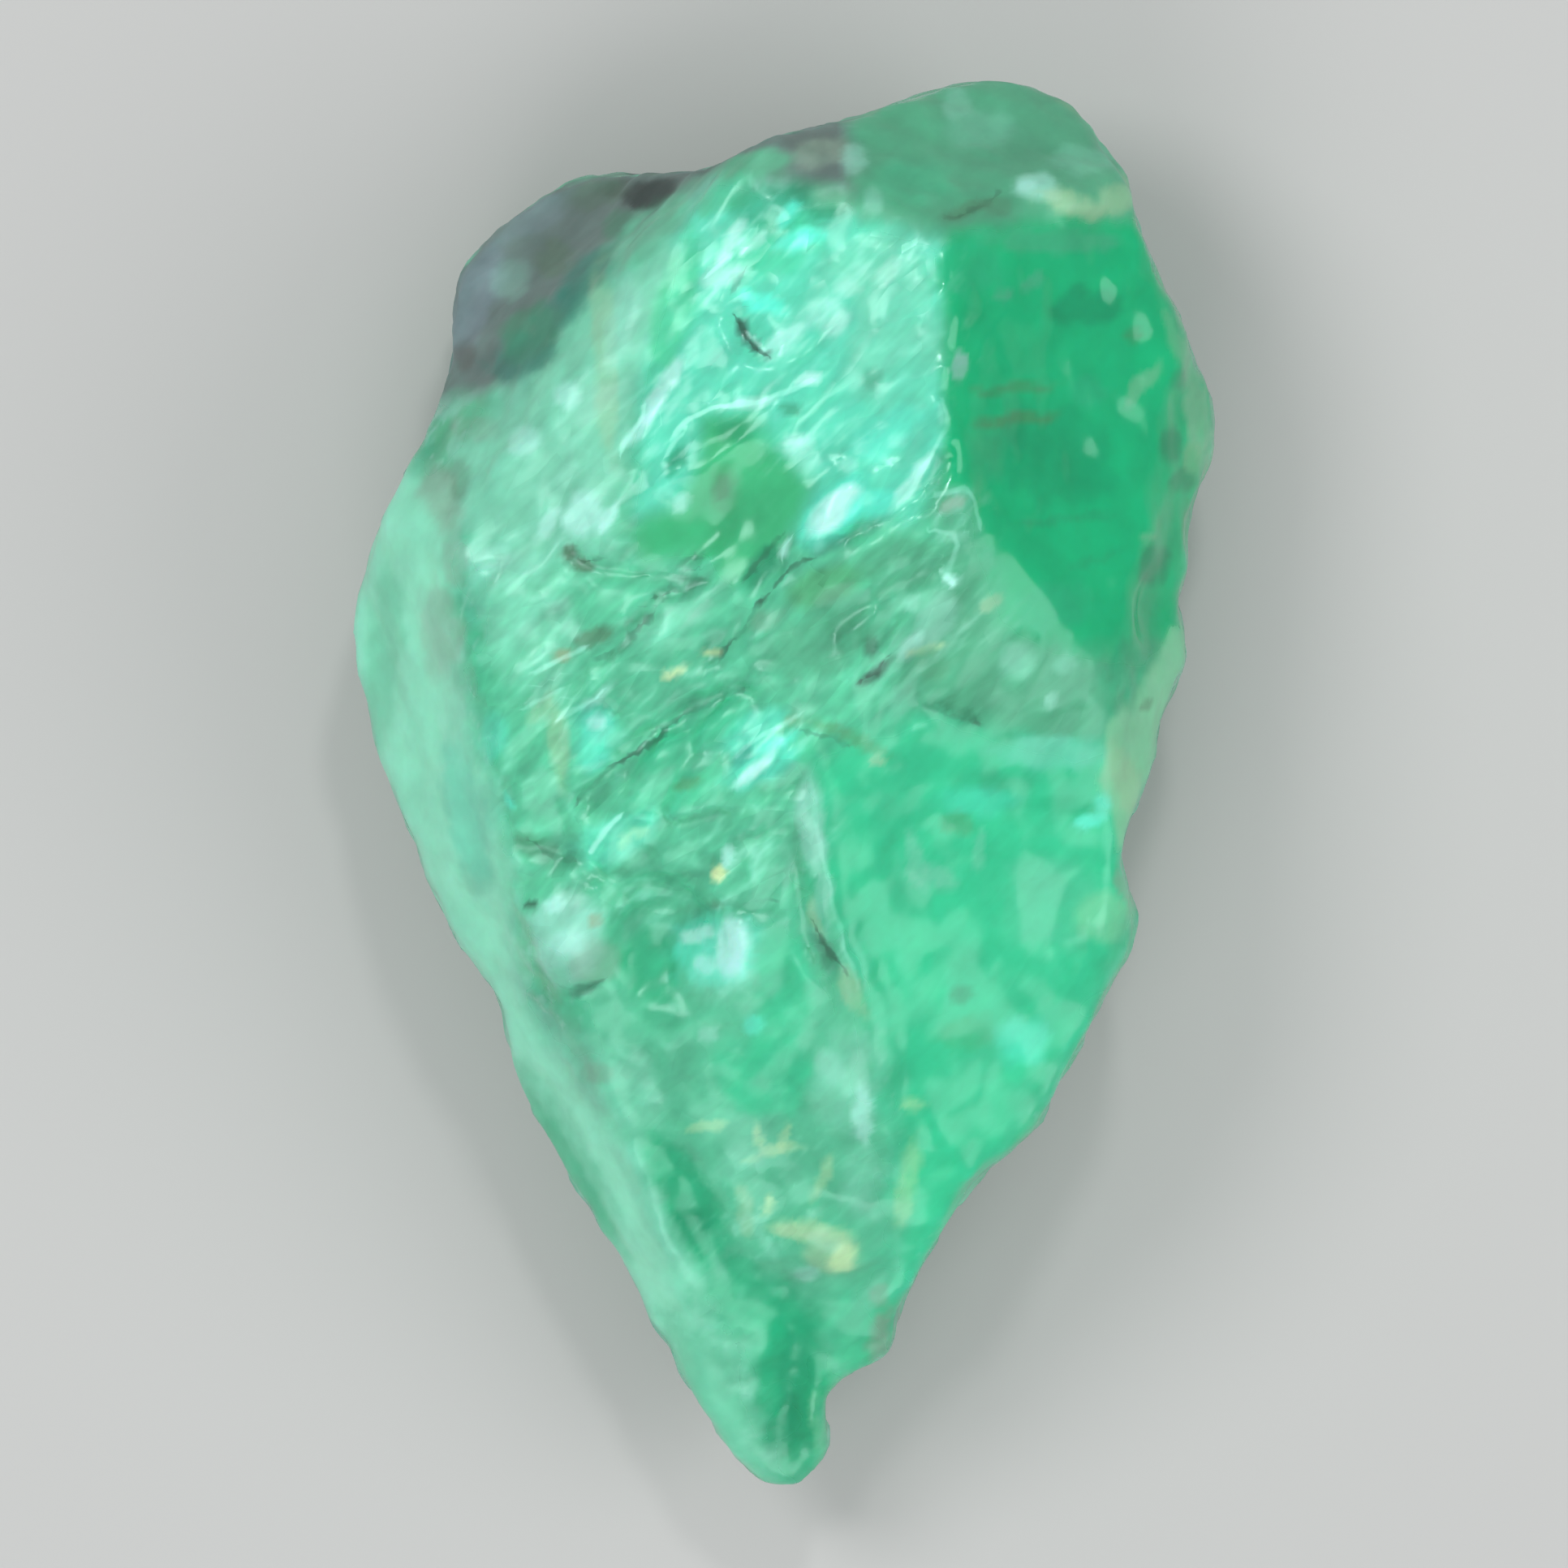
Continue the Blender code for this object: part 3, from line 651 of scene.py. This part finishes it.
def noise_at(places, scale, shift=0.0, octaves=2):
    """Smooth noise from about -1 to 1 at each place; scale is in 1/mm, and shift picks another part of it."""
    offset = Vector((shift, shift * 0.7, -shift))
    return np.array(
        [noise.fractal(Vector(place) * scale + offset, 0.6, 2.0, octaves) for place in places]
    )


def oval(x, y, middle, half_length, half_width, turn):
    """1 at the middle of an oval, 0.5 at its edge and 0 beyond it."""
    mx, my = at(*middle)
    cos, sin = math.cos(math.radians(turn)), math.sin(math.radians(turn))
    along = ((x - mx) * cos + (y - my) * sin) * PIXELS_PER_MM / half_length
    across = ((y - my) * cos - (x - mx) * sin) * PIXELS_PER_MM / half_width
    return ease((OVAL_END - np.hypot(along, across)) / OVAL_FADE)


def nearest_line(x, y, lines):
    """The distance to the nearest line in mm, below zero on its right, and that line's strength nearby."""
    offset = np.full(len(x), LINE_REACH)
    strength = np.zeros(len(x))
    for share, line in lines:
        knots = [at(*knot) for knot in line]
        for (ax, ay), (bx, by) in zip(knots, knots[1:]):
            run_x, run_y = bx - ax, by - ay
            run = math.hypot(run_x, run_y)
            along = ((x - ax) * run_x + (y - ay) * run_y) / run**2
            beyond = np.abs(along - np.clip(along, 0.0, 1.0)) * run
            across = ((y - ay) * run_x - (x - ax) * run_y) / run
            distance = np.hypot(across, beyond)
            closer = distance < np.abs(offset)
            offset = np.where(closer, np.copysign(distance, across), offset)
            near = ease(1.0 - distance / LINE_REACH) * (beyond < LINE_END)
            strength = np.where(closer, share * near, strength)
    return offset, strength


def inside(x, y, corners, softness):
    """1 inside a region, 0 outside it, easing across its edge."""
    knots = [at(*corner) for corner in corners]
    nearest = np.full(len(x), np.inf)
    within = np.zeros(len(x), bool)
    for (ax, ay), (bx, by) in zip(knots, knots[1:] + knots[:1]):
        run_x, run_y = bx - ax, by - ay
        along = ((x - ax) * run_x + (y - ay) * run_y) / (run_x * run_x + run_y * run_y)
        along = np.clip(along, 0.0, 1.0)
        nearest = np.minimum(nearest, np.hypot(x - ax - along * run_x, y - ay - along * run_y))
        crosses = (ay > y) != (by > y)
        within ^= crosses & (x < ax + (y - ay) * run_x / (run_y if run_y else 1e-9))
    signed = np.where(within, nearest, -nearest)
    return ease(0.5 + signed / softness / 2.0)


def fine_copy(node):
    """The CAD solid's mesh in millimetres, made fine and even."""
    mesh = bpy.data.meshes.new_from_object(node)
    mesh.transform(node.matrix_world)
    mesh.transform(Matrix.Scale(1.0 / MM, 4))
    coarse = bpy.data.objects.new("coarse", mesh)
    bpy.context.scene.collection.objects.link(coarse)
    remesh = coarse.modifiers.new("fine mesh", "REMESH")
    remesh.mode = "VOXEL"
    remesh.voxel_size = FINE_VOXEL
    soften = coarse.modifiers.new("soften", "SMOOTH")
    soften.factor = FINE_SMOOTHING_FACTOR
    soften.iterations = FINE_SMOOTHING
    bpy.context.view_layer.update()
    graph = bpy.context.evaluated_depsgraph_get()
    fine = bpy.data.meshes.new_from_object(coarse.evaluated_get(graph), depsgraph=graph)
    bpy.data.objects.remove(coarse)
    fine.name = "fine emerald"
    return fine


def places_of(mesh):
    """The mesh's points, a row for each."""
    places = np.empty(len(mesh.vertices) * 3, np.float32)
    mesh.vertices.foreach_get("co", places)
    return places.reshape(-1, 3).astype(float)


def directions_of(mesh):
    """The way the surface faces at each point, a row for each."""
    directions = np.empty(len(mesh.vertices) * 3, np.float32)
    mesh.vertex_normals.foreach_get("vector", directions)
    return directions.reshape(-1, 3).astype(float)


def chips(places):
    """The height of flat, tilted chips round scattered middles."""
    random = np.random.default_rng(CHIP_SEED)
    angle = math.radians(CHIP_TURN)
    cos, sin = math.cos(angle), math.sin(angle)
    turned = places @ np.array([[cos, -sin, 0.0], [sin, cos, 0.0], [0.0, 0.0, 1.0]])
    turned[:, 0] /= CHIP_STRETCH
    low, high = turned.min(0), turned.max(0)
    count = int(np.prod(high - low) / CHIP_SPACING**3)
    middles = random.uniform(low, high, (count, 3))
    tilts = random.normal(0.0, 1.0, (count, 3))
    levels = random.uniform(-0.5, 0.5, count)
    tree = kdtree.KDTree(count)
    for number, middle in enumerate(middles):
        tree.insert(middle, number)
    tree.balance()
    owner = np.array([tree.find(place)[1] for place in turned])
    lean = ((turned - middles[owner]) * tilts[owner]).sum(1)
    return np.clip(lean * CHIP_LEAN + levels[owner] * CHIP_LEVEL, -1.0, 1.0)


def tinted(colour, places, reach, tints):
    """The colours with soft clouds of each tint over them, as strong as reach says."""
    for tint, strength, scale, shift, start in tints:
        share = reach * strength * ease((noise_at(places, scale, shift, 3) - start) / 0.5)
        colour = colour + (linear(COLOURS[tint]) - colour) * share[:, None]
    return colour


def dress(mesh):
    """Adds the fine relief to the mesh, and the colour and finish of each point."""
    places = softened(mesh, places_of(mesh))
    directions = directions_of(mesh)
    steep = 1.0 - ease((directions[:, 2] + 0.05) / 0.3)
    wander_x = noise_at(places, 1.4, 4.0) * WANDER + noise_at(places, 0.6, 8.0) * STEEP_WANDER * steep
    wander_y = noise_at(places, 1.4, 19.0) * WANDER + noise_at(places, 0.6, 23.0) * STEEP_WANDER * steep
    x, y = places[:, 0] + wander_x, places[:, 1] + wander_y
    front = ease((directions[:, 2] + 0.10 + noise_at(places, 0.9, 12.0) * 0.25) / 0.3)
    rock_level = ROCK_LEVEL + noise_at(places, 0.7, 35.0, 3) * ROCK_LEVEL_CHANGE
    rock = np.maximum(front, ease((places[:, 2] - rock_level) / 0.8))
    up = ease((directions[:, 2] - 0.05) / 0.4)

    colour = np.tile(linear(COLOURS["sea green"]), (len(x), 1))
    clear = np.full(len(x), SIDE_CLEAR)
    rough = SIDE_ROUGH + noise_at(places, 1.1, 27.0) * SIDE_ROUGH_CHANGE
    chip = np.full(len(x), SIDE_CHIP)
    clouds = ease(0.5 + noise_at(places, 0.35, 31.0))[:, None]
    colour = colour * (1.0 - 0.5 * clouds) + linear(COLOURS["milky green"]) * 0.5 * clouds
    colour = tinted(colour, places, 1.0, SIDE_TINTS)
    veils = ease(1.0 - np.abs(noise_at(places, 0.7, 77.0, 3)) / 0.06)[:, None]
    colour += (linear(COLOURS["frost"]) - colour) * veils * 0.6
    for name, (tint, softness, clearness, roughness, height, corners) in REGIONS.items():
        share = inside(x, y, corners, softness) * (rock if name == "grey ledge" else front)
        colour += (linear(COLOURS[tint]) - colour) * share[:, None]
        clear += (clearness - clear) * share
        rough += (roughness - rough) * share
        chip += (height - chip) * share
        if name == "grey ledge":
            colour = tinted(colour, places, share * (1.0 - front), ROCK_TINTS)
    ragged = [noise_at(places * (1.0, 1.0, 0.4), scale, shift, 3) for scale, shift in RAGGED_EDGES]
    for number, (tint, strength, middle, half_length, half_width, turn) in enumerate(PATCHES):
        share = oval(x, y, middle, half_length, half_width, turn)
        around = oval(x, y, middle, half_length * RAGGED_REACH, half_width * RAGGED_REACH, turn)
        share = ease((share + RAGGED_STRENGTH * ragged[number % len(ragged)] * around - 0.12) / 0.85)
        colour += (linear(COLOURS[tint]) - colour) * (share * strength * front)[:, None]

    crack_offset, cracks = nearest_line(x, y, CRACK_LINES)
    # Lines of painted highlight along glassy edges
    painted_highlight_offset, painted_highlight = nearest_line(x, y, PAINTED_HIGHLIGHT_LINES)
    cracks *= up
    painted_highlight *= up
    glitter = np.zeros(len(x))
    for strength, middle, half_length, half_width, turn in GLITTER:
        glitter = np.maximum(glitter, strength * oval(x, y, middle, half_length, half_width, turn) * up)
    # Glints painted, and facets leaning, on the sides and back too, where the noise says
    side_glitter = SIDE_GLITTER * (1.0 - front) * ease(noise_at(places, 0.9, 91.0) * 2.0)
    glitter = np.maximum(glitter, side_glitter)

    height = chips(places) * chip
    height += (1.0 - front) * noise_at(places * (2.4, 0.3, 2.4), 1.0, 83.0) * SIDE_RIDGES
    height += noise_at(places, 2.2, 50.0, 1) * UNEVENNESS * (0.3 + np.clip(chip / 0.1, 0.0, 1.0))
    height -= cracks * CRACK_DEPTH
    height += painted_highlight * HIGHLIGHT_EDGE_RISE
    for rise, middle, half_length, half_width, turn in FORMS:
        height += rise * oval(x, y, middle, half_length, half_width, turn) * up
    height = evened(mesh, height, HEIGHT_PASSES)
    resting = ease((places[:, 2] - 0.02) / 0.4)
    moved = places + directions * (height * resting)[:, None]
    low = np.array(cad_bounds[0]) / MM
    high = np.array(cad_bounds[1]) / MM
    moved = np.clip(moved, low, high)
    mesh.vertices.foreach_set("co", (moved * MM).astype(np.float32).ravel())

    add_values(mesh, "crack", cracks)
    add_values(mesh, "crack offset", crack_offset)
    add_values(mesh, "painted highlight edge", painted_highlight)
    add_values(mesh, "painted highlight offset", painted_highlight_offset)
    add_values(mesh, "glitter", glitter)
    add_values(mesh, "clear", clear)
    add_values(mesh, "rough", rough)
    add_values(mesh, "chipped", np.clip(chip / FULL_CHIP, 0.0, 1.0))
    tint = mesh.color_attributes.new("tint", "FLOAT_COLOR", "POINT")
    opaque = np.column_stack([colour, np.ones(len(x))])
    tint.data.foreach_set("color", opaque.astype(np.float32).ravel())
    mesh.update()


def softened(mesh, places):
    """Evens out the surface inside the softened ovals, and gives back its new places."""
    share = np.zeros(len(places))
    x, y, z = places.T
    for middle, half_length, half_width, turn in SOFTENED:
        share = np.maximum(share, oval(x, y, middle, half_length, half_width, turn))
    share *= z > 1.0
    even = np.column_stack([evened(mesh, places[:, axis], SOFTENED_PASSES) for axis in range(3)])
    places = places + (even - places) * share[:, None]
    mesh.vertices.foreach_set("co", places.astype(np.float32).ravel())
    mesh.update()
    return places


def evened(mesh, values, passes):
    """Blends each point's value with its neighbours', so that no single point sticks out."""
    ends = np.empty(len(mesh.edges) * 2, np.int32)
    mesh.edges.foreach_get("vertices", ends)
    first, second = ends.reshape(-1, 2).T
    count = len(values)
    neighbours = np.bincount(first, minlength=count) + np.bincount(second, minlength=count)
    for _ in range(passes):
        total = np.bincount(first, values[second], count) + np.bincount(second, values[first], count)
        values = 0.5 * values + 0.5 * total / neighbours
    return values


def add_values(mesh, name, values):
    """Keeps one number for each point of the mesh, for the material to read."""
    attribute = mesh.attributes.new(name, "FLOAT", "POINT")
    attribute.data.foreach_set("value", values.astype(np.float32))


class Nodes:
    """A material's node tree, with short ways to add and link nodes."""

    def __init__(self, tree):
        self.tree = tree

    def feed(self, socket, value):
        """Links the socket to another node's output, or sets its plain value."""
        if isinstance(value, bpy.types.NodeSocket):
            self.tree.links.new(value, socket)
        else:
            socket.default_value = value

    def add(self, kind, inputs=None, **settings):
        node = self.tree.nodes.new(kind)
        for name, value in settings.items():
            setattr(node, name, value)
        for name, value in (inputs or {}).items():
            self.feed(node.inputs[name], value)
        return node

    def attribute(self, name, output="Fac"):
        return self.add("ShaderNodeAttribute", attribute_name=name).outputs[output]

    def math(self, operation, first, second=0.0, third=0.0, clamp=False):
        node = self.add("ShaderNodeMath", operation=operation, use_clamp=clamp)
        for socket, value in zip(node.inputs, (first, second, third)):
            self.feed(socket, value)
        return node.outputs[0]

    def vector(self, operation, first, second=None):
        node = self.add("ShaderNodeVectorMath", operation=operation)
        self.feed(node.inputs[0], first)
        if second is not None:
            self.feed(node.inputs["Scale" if operation == "SCALE" else 1], second)
        return node.outputs["Vector"]

    def mix(self, share, first, second):
        node = self.add("ShaderNodeMix", data_type="RGBA", blend_type="MIX")
        for name, value in (("Factor_Float", share), ("A_Color", first), ("B_Color", second)):
            self.feed(next(item for item in node.inputs if item.identifier == name), value)
        return next(item for item in node.outputs if item.identifier == "Result_Color")

    def span(self, value, low, high, to_low=0.0, to_high=1.0):
        """Eases value from low..high to to_low..to_high."""
        node = self.add("ShaderNodeMapRange", interpolation_type="SMOOTHSTEP")
        ends = (("From Min", low), ("From Max", high), ("To Min", to_low), ("To Max", to_high))
        for name, number in (("Value", value), *ends):
            self.feed(node.inputs[name], number)
        return node.outputs["Result"]


def thin_line(make, strength, offset, half_width):
    """1 along the lines kept in two of the mesh's attributes, as wide as half_width says."""
    distance = make.math("ABSOLUTE", make.attribute(offset))
    widths_away = make.math("DIVIDE", distance, make.math("MAXIMUM", half_width, 0.004))
    within = make.math("SUBTRACT", 1.0, widths_away)
    return make.math("MULTIPLY", make.span(within, 0.0, 0.8), make.attribute(strength))


def colour_value(name):
    """A named colour as a shader socket takes it."""
    return (*linear(COLOURS[name]), 1.0)


def emerald_material():
    """The crystal and its host rock, from the values kept on the mesh and noise over them."""
    material = bpy.data.materials.new("rough emerald")
    material.use_nodes = True
    surface = material.node_tree.nodes["Principled BSDF"]
    output = material.node_tree.nodes["Material Output"]
    make = Nodes(material.node_tree)

    # Noise: streaks and facets along the fractures, fine grain, and wide clouds
    place = make.add("ShaderNodeTexCoord").outputs["Object"]
    along = make.add(
        "ShaderNodeMapping",
        {"Vector": place, "Rotation": (0.0, 0.0, math.radians(STREAK_TURN)), "Scale": STREAK_SIZE},
        vector_type="TEXTURE",
    ).outputs["Vector"]
    streak_noise = make.add(
        "ShaderNodeTexNoise", {"Vector": along, "Scale": 1.0, "Detail": 2.0, "Roughness": 0.6}
    )
    streaks = streak_noise.outputs["Fac"]
    facets = make.add("ShaderNodeTexVoronoi", {"Vector": along, "Scale": 1.3})
    grain = make.add(
        "ShaderNodeTexNoise", {"Vector": place, "Scale": GRAIN_SCALE, "Detail": 1.0, "Roughness": 0.6}
    ).outputs["Fac"]
    clouds = make.add(
        "ShaderNodeTexNoise", {"Vector": place, "Scale": CLOUD_SCALE, "Detail": 3.0, "Roughness": 0.6}
    ).outputs["Fac"]

    # What the mesh keeps for each point
    glitter = make.attribute("glitter")
    clear = make.attribute("clear")
    rough = make.attribute("rough")
    chipped = make.attribute("chipped")
    tint = make.attribute("tint", "Color")

    # Colour: the tint, shaded at random by clouds and with painted light and shade by streaks and facets,
    # with painted glints, painted highlights along edges, and cracks over it
    facet_pick = make.add("ShaderNodeSeparateColor", {"Color": facets.outputs["Color"]}).outputs["Red"]
    mottle = make.math("MULTIPLY_ADD", clouds, 0.55, 0.725)
    # Painted light and shade: streaks and facets made lighter and darker as fracture steps that catch the
    # light
    painted_facet_light = make.math("MULTIPLY_ADD", facet_pick, 0.20, make.math("MULTIPLY", streaks, 1.7))
    painted_facet_light = make.math("SUBTRACT", painted_facet_light, 0.95)
    shade = make.math("MULTIPLY_ADD", make.math("MULTIPLY", painted_facet_light, chipped), 0.6, mottle)
    shaded = make.vector("SCALE", tint, shade)
    crack_width = make.math("MULTIPLY_ADD", grain, 0.30, -0.085)
    crack_share = thin_line(make, "crack", "crack offset", crack_width)
    crack_share = make.math("MULTIPLY", crack_share, make.span(clouds, 0.40, 0.56, 0.25, 1.0))
    painted_highlight_width = make.math("MULTIPLY_ADD", streaks, 0.18, -0.02)
    painted_highlight_share = thin_line(make, "painted highlight edge", "painted highlight offset", painted_highlight_width)
    painted_highlight_share = make.math("MULTIPLY", painted_highlight_share, make.span(clouds, 0.36, 0.58, 0.45, 1.0))
    # Painted glints: white mixed into the colour where the streaks cross the glittering places
    painted_glint_share = make.math("MULTIPLY", glitter, make.span(streaks, 0.54, 0.78))
    colour = make.mix(make.math("MULTIPLY", painted_glint_share, 0.65), shaded, colour_value("painted highlight white"))
    # Painted highlights: white mixed in along the glassy edges
    colour = make.mix(make.math("MULTIPLY", painted_highlight_share, 0.8), colour, colour_value("painted highlight white"))
    colour = make.mix(make.math("MULTIPLY", crack_share, 0.8), colour, colour_value("crack"))
    veiled = make.math("SUBTRACT", clear, make.math("MULTIPLY", painted_highlight_share, 0.4), clamp=True)

    # Glitter: the surface leans this way and that from facet to facet, most where glints are painted
    lean = make.mix(0.3, streak_noise.outputs["Color"], facets.outputs["Color"])
    tilt = make.vector("SUBTRACT", lean, (0.5, 0.5, 0.5))
    tilt_share = make.math("MULTIPLY_ADD", glitter, 0.5, make.math("MULTIPLY_ADD", chipped, 0.2, 0.04))
    tilted = make.vector("SCALE", tilt, tilt_share)
    normal = make.add("ShaderNodeNewGeometry").outputs["Normal"]
    leaning = make.vector("NORMALIZE", make.vector("ADD", normal, tilted))

    for name, value in (
        ("Base Color", colour),
        ("Roughness", rough),
        ("Transmission Weight", veiled),
        ("Normal", leaning),
        ("IOR", IOR),
        ("Subsurface Weight", SCATTER_SHARE),
        ("Subsurface Radius", SCATTER_COLOURS),
        ("Subsurface Scale", SCATTER_REACH),
        ("Specular Tint", GLOSS_TINT),
    ):
        make.feed(surface.inputs[name], value)

    absorption = make.add(
        "ShaderNodeVolumeAbsorption", {"Color": ABSORPTION_COLOUR, "Density": ABSORPTION_DENSITY}
    )
    make.feed(output.inputs["Volume"], absorption.outputs["Volume"])
    return material


def area_light(name, place, size, power):
    """A round light that shines at the stone."""
    data = bpy.data.lights.new(name, "AREA")
    data.shape = "DISK"
    data.size = size
    data.energy = power
    light = bpy.data.objects.new(name, data)
    bpy.context.scene.collection.objects.link(light)
    light.location = place
    light.visible_transmission = False
    light.rotation_mode = "QUATERNION"
    light.rotation_quaternion = (-Vector(place)).to_track_quat("-Z", "Y")


def studio():
    """A pale floor and soft light, the strongest from the upper left of the picture."""
    floor_mesh = bpy.data.meshes.new("floor")
    corners = [(x * FLOOR_REACH, y * FLOOR_REACH, 0.0) for x, y in ((-1, -1), (1, -1), (1, 1), (-1, 1))]
    floor_mesh.from_pydata(corners, [], [(0, 1, 2, 3)])
    floor = bpy.data.objects.new("floor", floor_mesh)
    bpy.context.scene.collection.objects.link(floor)
    pale = bpy.data.materials.new("pale floor")
    pale.use_nodes = True
    surface = pale.node_tree.nodes["Principled BSDF"]
    surface.inputs["Base Color"].default_value = FLOOR_COLOUR
    surface.inputs["Roughness"].default_value = FLOOR_ROUGHNESS
    floor_mesh.materials.append(pale)

    bpy.context.scene.view_settings.view_transform = "Standard"
    world = bpy.data.worlds.new("studio")
    bpy.context.scene.world = world
    world.use_nodes = True
    sky = world.node_tree.nodes["Background"]
    sky.inputs["Color"].default_value = SKY_COLOUR
    sky.inputs["Strength"].default_value = SKY_STRENGTH
    for light in LIGHTS:
        area_light(*light)


def camera():
    """Looks straight down on the stone's front, as the photograph does."""
    seen = PHOTO_WIDTH / PIXELS_PER_MM * MM
    data = bpy.data.cameras.new("camera")
    data.lens = FOCAL_LENGTH
    data.sensor_width = SENSOR
    data.clip_start = 0.005
    data.clip_end = 10.0
    view = bpy.data.objects.new("camera", data)
    bpy.context.scene.collection.objects.link(view)
    view.location = (0.0, 0.0, OUTLINE_LEVEL + seen * FOCAL_LENGTH / SENSOR)
    bpy.context.scene.camera = view


def build():
    """Puts the dressed stone in the CAD node's place, with its floor, light and camera."""
    stone = fine_copy(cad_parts["emerald"])
    dress(stone)
    stone.materials.clear()
    stone.materials.append(emerald_material())
    stone.shade_smooth()
    piece = bpy.data.objects.new("rough_emerald", stone)
    bpy.context.scene.collection.objects.link(piece)
    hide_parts("emerald")
    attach(piece, "root")
    studio()
    camera()


build()
